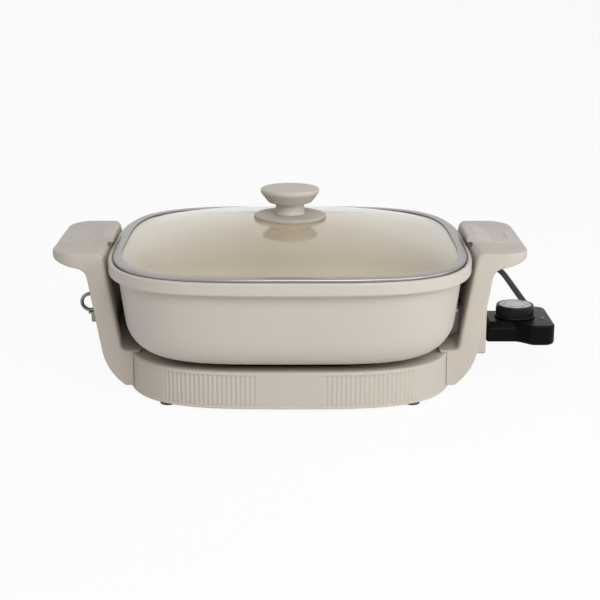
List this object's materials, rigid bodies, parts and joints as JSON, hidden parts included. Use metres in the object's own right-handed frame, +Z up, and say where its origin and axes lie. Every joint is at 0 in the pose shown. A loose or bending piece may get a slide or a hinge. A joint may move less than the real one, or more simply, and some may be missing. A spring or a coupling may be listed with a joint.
{
  "type": "electric skillet",
  "caption": "Square countertop electric skillet with a lift-off glass lid, fluted base, end grips with slide latches, and a plug-in heat control with dial and cord.",
  "frame": {"origin": "on the table under the middle of the pan", "axes": "+X towards the heat control, +Y to the back, +Z up"},
  "size_m": [0.4395, 0.4915, 0.166],
  "materials": {
    "base_plastic": "fine satin moulding, warm greige",
    "latch_plastic": "fine satin moulding, warm greige",
    "knob_plastic": "smooth satin moulding, warm greige",
    "flange_plastic": "satin moulding, darker greige",
    "pan_coating": "satin ceramic coating, warm greige",
    "lid_glass": "clear tempered glass",
    "lid_steel": "brushed stainless band",
    "screw_steel": "zinc plated",
    "bright_metal": "satin metal",
    "keeper_metal": "grey satin metal",
    "element_steel": "heat-darkened sheath",
    "shield_black": "matt black enamel",
    "foot_rubber": "matt",
    "control_black": "high gloss moulding",
    "dial_black": "semi-gloss moulding",
    "dial_silver": "satin silver face",
    "indicator_red": "clear red lens",
    "phenolic": "heat-proof moulding",
    "thermostat_grey": "ceramic block",
    "contact_brass": "plain",
    "cord_rubber": "satin black",
    "tie_rubber": "matt black"
  },
  "bodies": {
    "base": {"base_ring": "base_plastic", "base_tray": "base_plastic", "heat_shield": "shield_black", "rubber_feet": "foot_rubber", "tray_screws": "screw_steel", "left_bracket": "base_plastic", "right_bracket": "base_plastic", "bracket_screws": "screw_steel", "control_collar": "base_plastic", "keeper_ring": "keeper_metal", "pan": "pan_coating", "heating_element": "element_steel", "terminal_pins": "bright_metal", "probe_sleeve": "bright_metal", "terminal_guard": "bright_metal"},
    "left_latch": {"left_latch": "latch_plastic"},
    "right_latch": {"right_latch": "latch_plastic"},
    "lid": {"lid_glass": "lid_glass", "lid_ring": "lid_steel", "lid_knob": "knob_plastic", "knob_flange": "flange_plastic", "knob_screw": "screw_steel", "knob_washer": "screw_steel"},
    "control": {"control_upper": "control_black", "control_lower": "control_black", "control_nose": "phenolic", "contact_clips": "contact_brass", "temperature_probe": "bright_metal", "thermostat": "thermostat_grey", "control_screws": "screw_steel", "indicator_lens": "indicator_red", "strain_relief": "cord_rubber", "cord_lead": "cord_rubber", "cord_coil": "cord_rubber", "cord_tie": "tie_rubber", "plug_body": "cord_rubber", "plug_blades": "contact_brass"},
    "dial": {"dial": "dial_black", "dial_face": "dial_silver", "dial_spindle": "screw_steel"}
  },
  "joints": [
    {"name": "lid_lift", "type": "slide", "parent": "base", "child": "lid", "axis": [0, 0, 1], "range_m": [0, 0.15]},
    {"name": "left_latch_slide", "type": "slide", "parent": "base", "child": "left_latch", "axis": [-1, 0, 0], "range_m": [0, 0.008]},
    {"name": "right_latch_slide", "type": "slide", "parent": "base", "child": "right_latch", "axis": [1, 0, 0], "range_m": [0, 0.008]},
    {"name": "control_unplug", "type": "slide", "parent": "base", "child": "control", "axis": [1, 0, 0], "range_m": [0, 0.12]},
    {"name": "dial_turn", "type": "hinge", "parent": "control", "child": "dial", "pos_m": [0.20344, 0, 0.053], "axis": [0, 0, -1], "range_deg": [0, 280]}
  ]
}
